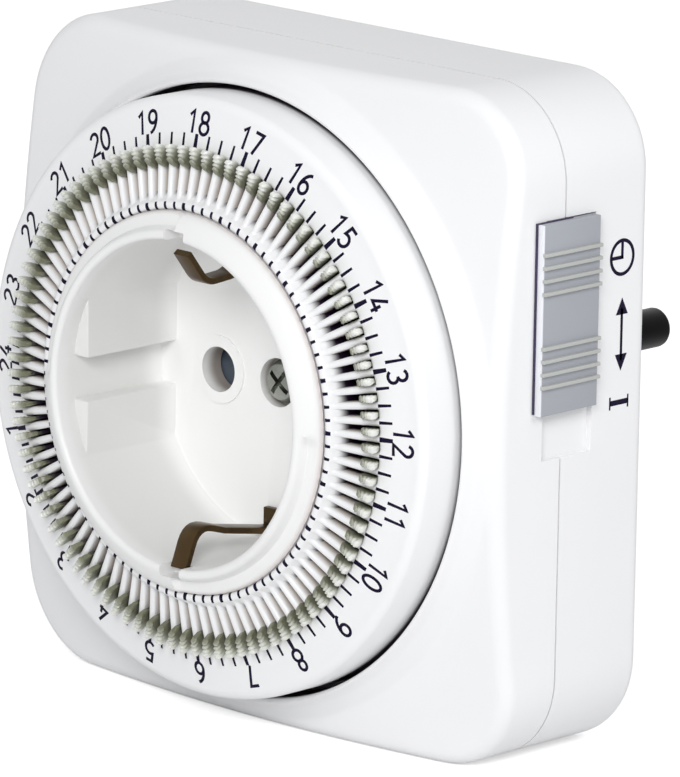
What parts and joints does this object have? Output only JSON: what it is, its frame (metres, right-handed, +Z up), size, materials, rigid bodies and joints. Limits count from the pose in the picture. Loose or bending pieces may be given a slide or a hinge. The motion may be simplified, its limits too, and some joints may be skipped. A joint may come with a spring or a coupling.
{
  "type": "plug-in timer switch",
  "caption": "Square plug-in mechanical timer switch with an earthed socket in its face, a turning 24 hour dial of tip-over segments and a slide override on its right side.",
  "frame": {"origin": "centre of the plug's front face, on the axis of plug, socket and dial", "axes": "+Y into the wall along the plug pins, -Y towards the user, +Z up, +X to the right as seen from the front"},
  "size_m": [0.0806, 0.0736, 0.079],
  "materials": {
    "housing_white": "satin moulded, cool white",
    "socket_white": "satin moulded, white",
    "dial_white": "satin moulded, white",
    "segment_clear": "milky grey-green, slightly clear",
    "slider_grey": "blue-grey, fine grain",
    "shutter_grey": "blue-grey",
    "gear_natural": "undyed plastic",
    "clip_bronze": "dark bronze strip",
    "contact_brass": "bare brass",
    "pin_nickel": "dark nickel plating",
    "zinc_steel": "zinc plated",
    "motor_steel": "drawn steel"
  },
  "bodies": {
    "housing": {"front_shell": "housing_white", "rear_shell": "housing_white", "housing_screws": "zinc_steel", "socket_insert": "socket_white", "socket_screw": "zinc_steel", "earth_clip_top": "clip_bronze", "earth_clip_bottom": "clip_bronze", "earth_cross_strap": "contact_brass", "contact_sleeve_line": "contact_brass", "contact_sleeve_neutral": "contact_brass", "plug_pin_line": "pin_nickel", "plug_pin_neutral": "pin_nickel", "neutral_busbar": "contact_brass", "line_busbar": "contact_brass", "switch_strap": "contact_brass", "shutter_spring": "zinc_steel", "gear_axle": "zinc_steel", "motor": "motor_steel"},
    "dial": {"dial_ring": "dial_white", "pivot_ring": "zinc_steel"},
    "slider": {"override_slider": "slider_grey"},
    "lever": {"switch_lever": "gear_natural"},
    "contact": {"moving_contact": "clip_bronze"},
    "shutter": {"shutter": "shutter_grey"},
    "drive": {"drive_pinion": "gear_natural", "clutch_washer": "zinc_steel"},
    "clutch": {"clutch_gear": "gear_natural"},
    "reduction": {"reduction_gear": "gear_natural"},
    "motor_shaft": {"motor_pinion": "contact_brass"},
    "hour_01": {"segments_hour_01": "segment_clear"},
    "hour_02": {"segments_hour_02": "segment_clear"},
    "hour_03": {"segments_hour_03": "segment_clear"},
    "hour_04": {"segments_hour_04": "segment_clear"},
    "hour_05": {"segments_hour_05": "segment_clear"},
    "hour_06": {"segments_hour_06": "segment_clear"},
    "hour_07": {"segments_hour_07": "segment_clear"},
    "hour_08": {"segments_hour_08": "segment_clear"},
    "hour_09": {"segments_hour_09": "segment_clear"},
    "hour_10": {"segments_hour_10": "segment_clear"},
    "hour_11": {"segments_hour_11": "segment_clear"},
    "hour_12": {"segments_hour_12": "segment_clear"},
    "hour_13": {"segments_hour_13": "segment_clear"},
    "hour_14": {"segments_hour_14": "segment_clear"},
    "hour_15": {"segments_hour_15": "segment_clear"},
    "hour_16": {"segments_hour_16": "segment_clear"},
    "hour_17": {"segments_hour_17": "segment_clear"},
    "hour_18": {"segments_hour_18": "segment_clear"},
    "hour_19": {"segments_hour_19": "segment_clear"},
    "hour_20": {"segments_hour_20": "segment_clear"},
    "hour_21": {"segments_hour_21": "segment_clear"},
    "hour_22": {"segments_hour_22": "segment_clear"},
    "hour_23": {"segments_hour_23": "segment_clear"},
    "hour_24": {"segments_hour_24": "segment_clear"}
  },
  "joints": [
    {"name": "dial_spin", "type": "hinge", "parent": "housing", "child": "dial", "pos_m": [0, -0.046, 0], "axis": [0, 1, 0], "continuous": true},
    {"name": "override_slide", "type": "slide", "parent": "housing", "child": "slider", "axis": [0, 0, -1], "range_m": [0, 0.0052]},
    {"name": "lever_turn", "type": "hinge", "parent": "housing", "child": "lever", "pos_m": [0.0255, -0.0328, 0.0205], "axis": [1, 0, 0], "range_deg": [0, 5.6]},
    {"name": "contact_close", "type": "hinge", "parent": "housing", "child": "contact", "pos_m": [0.0255, -0.0274, -0.0122], "axis": [-1, 0, 0], "range_deg": [0, 4.6]},
    {"name": "shutter_turn", "type": "hinge", "parent": "housing", "child": "shutter", "pos_m": [0, -0.03335, 0], "axis": [0, 1, 0], "range_deg": [0, 38], "stiffness_Nm_per_rad": 0.002},
    {"name": "drive_spin", "type": "hinge", "parent": "housing", "child": "drive", "pos_m": [0.00392, -0.035, -0.0279], "axis": [0, 1, 0], "continuous": true},
    {"name": "motor_spin", "type": "hinge", "parent": "housing", "child": "motor_shaft", "pos_m": [-0.01345, -0.032, -0.02531], "axis": [0, 1, 0], "continuous": true},
    {"name": "reduction_spin", "type": "hinge", "parent": "housing", "child": "reduction", "pos_m": [-0.00503, -0.032, -0.02837], "axis": [0, 1, 0], "continuous": true},
    {"name": "clutch_spin", "type": "hinge", "parent": "housing", "child": "clutch", "pos_m": [0.00392, -0.0314, -0.0279], "axis": [0, 1, 0], "continuous": true},
    {"name": "hour_01_tip", "type": "hinge", "parent": "dial", "child": "hour_01", "pos_m": [-0.02334, -0.0452, -0.01028], "axis": [-0.4032, 0, 0.9151], "range_deg": [0, 18]},
    {"name": "hour_02_tip", "type": "hinge", "parent": "dial", "child": "hour_02", "pos_m": [-0.01988, -0.0452, -0.01597], "axis": [-0.6263, 0, 0.7796], "range_deg": [0, 18]},
    {"name": "hour_03_tip", "type": "hinge", "parent": "dial", "child": "hour_03", "pos_m": [-0.01507, -0.0452, -0.02057], "axis": [-0.8068, 0, 0.5909], "range_deg": [0, 18]},
    {"name": "hour_04_tip", "type": "hinge", "parent": "dial", "child": "hour_04", "pos_m": [-0.00923, -0.0452, -0.02377], "axis": [-0.9322, 0, 0.3619], "range_deg": [0, 18]},
    {"name": "hour_05_tip", "type": "hinge", "parent": "dial", "child": "hour_05", "pos_m": [-0.00276, -0.0452, -0.02535], "axis": [-0.9941, 0, 0.1083], "range_deg": [0, 18]},
    {"name": "hour_06_tip", "type": "hinge", "parent": "dial", "child": "hour_06", "pos_m": [0.00389, -0.0452, -0.0252], "axis": [-0.9883, 0, -0.1526], "range_deg": [0, 18]},
    {"name": "hour_07_tip", "type": "hinge", "parent": "dial", "child": "hour_07", "pos_m": [0.01028, -0.0452, -0.02334], "axis": [-0.9151, 0, -0.4032], "range_deg": [0, 18]},
    {"name": "hour_08_tip", "type": "hinge", "parent": "dial", "child": "hour_08", "pos_m": [0.01597, -0.0452, -0.01988], "axis": [-0.7796, 0, -0.6263], "range_deg": [0, 18]},
    {"name": "hour_09_tip", "type": "hinge", "parent": "dial", "child": "hour_09", "pos_m": [0.02057, -0.0452, -0.01507], "axis": [-0.5909, 0, -0.8068], "range_deg": [0, 18]},
    {"name": "hour_10_tip", "type": "hinge", "parent": "dial", "child": "hour_10", "pos_m": [0.02377, -0.0452, -0.00923], "axis": [-0.3619, 0, -0.9322], "range_deg": [0, 18]},
    {"name": "hour_11_tip", "type": "hinge", "parent": "dial", "child": "hour_11", "pos_m": [0.02535, -0.0452, -0.00276], "axis": [-0.1083, 0, -0.9941], "range_deg": [0, 18]},
    {"name": "hour_12_tip", "type": "hinge", "parent": "dial", "child": "hour_12", "pos_m": [0.0252, -0.0452, 0.00389], "axis": [0.1526, 0, -0.9883], "range_deg": [0, 18]},
    {"name": "hour_13_tip", "type": "hinge", "parent": "dial", "child": "hour_13", "pos_m": [0.02334, -0.0452, 0.01028], "axis": [0.4032, 0, -0.9151], "range_deg": [0, 18]},
    {"name": "hour_14_tip", "type": "hinge", "parent": "dial", "child": "hour_14", "pos_m": [0.01988, -0.0452, 0.01597], "axis": [0.6263, 0, -0.7796], "range_deg": [0, 18]},
    {"name": "hour_15_tip", "type": "hinge", "parent": "dial", "child": "hour_15", "pos_m": [0.01507, -0.0452, 0.02057], "axis": [0.8068, 0, -0.5909], "range_deg": [0, 18]},
    {"name": "hour_16_tip", "type": "hinge", "parent": "dial", "child": "hour_16", "pos_m": [0.00923, -0.0452, 0.02377], "axis": [0.9322, 0, -0.3619], "range_deg": [0, 18]},
    {"name": "hour_17_tip", "type": "hinge", "parent": "dial", "child": "hour_17", "pos_m": [0.00276, -0.0452, 0.02535], "axis": [0.9941, 0, -0.1083], "range_deg": [0, 18]},
    {"name": "hour_18_tip", "type": "hinge", "parent": "dial", "child": "hour_18", "pos_m": [-0.00389, -0.0452, 0.0252], "axis": [0.9883, 0, 0.1526], "range_deg": [0, 18]},
    {"name": "hour_19_tip", "type": "hinge", "parent": "dial", "child": "hour_19", "pos_m": [-0.01028, -0.0452, 0.02334], "axis": [0.9151, 0, 0.4032], "range_deg": [0, 18]},
    {"name": "hour_20_tip", "type": "hinge", "parent": "dial", "child": "hour_20", "pos_m": [-0.01597, -0.0452, 0.01988], "axis": [0.7796, 0, 0.6263], "range_deg": [0, 18]},
    {"name": "hour_21_tip", "type": "hinge", "parent": "dial", "child": "hour_21", "pos_m": [-0.02057, -0.0452, 0.01507], "axis": [0.5909, 0, 0.8068], "range_deg": [0, 18]},
    {"name": "hour_22_tip", "type": "hinge", "parent": "dial", "child": "hour_22", "pos_m": [-0.02377, -0.0452, 0.00923], "axis": [0.3619, 0, 0.9322], "range_deg": [0, 18]},
    {"name": "hour_23_tip", "type": "hinge", "parent": "dial", "child": "hour_23", "pos_m": [-0.02535, -0.0452, 0.00276], "axis": [0.1083, 0, 0.9941], "range_deg": [0, 18]},
    {"name": "hour_24_tip", "type": "hinge", "parent": "dial", "child": "hour_24", "pos_m": [-0.0252, -0.0452, -0.00389], "axis": [-0.1526, 0, 0.9883], "range_deg": [0, 18]}
  ],
  "couplings": [
    {"joint": "lever_turn", "follows": "override_slide", "rad_per_m": 18.3},
    {"joint": "contact_close", "follows": "override_slide", "rad_per_m": 14.75},
    {"joint": "drive_spin", "follows": "dial_spin", "ratio": 8},
    {"joint": "reduction_spin", "follows": "clutch_spin", "ratio": -3},
    {"joint": "motor_spin", "follows": "clutch_spin", "ratio": 9}
  ]
}
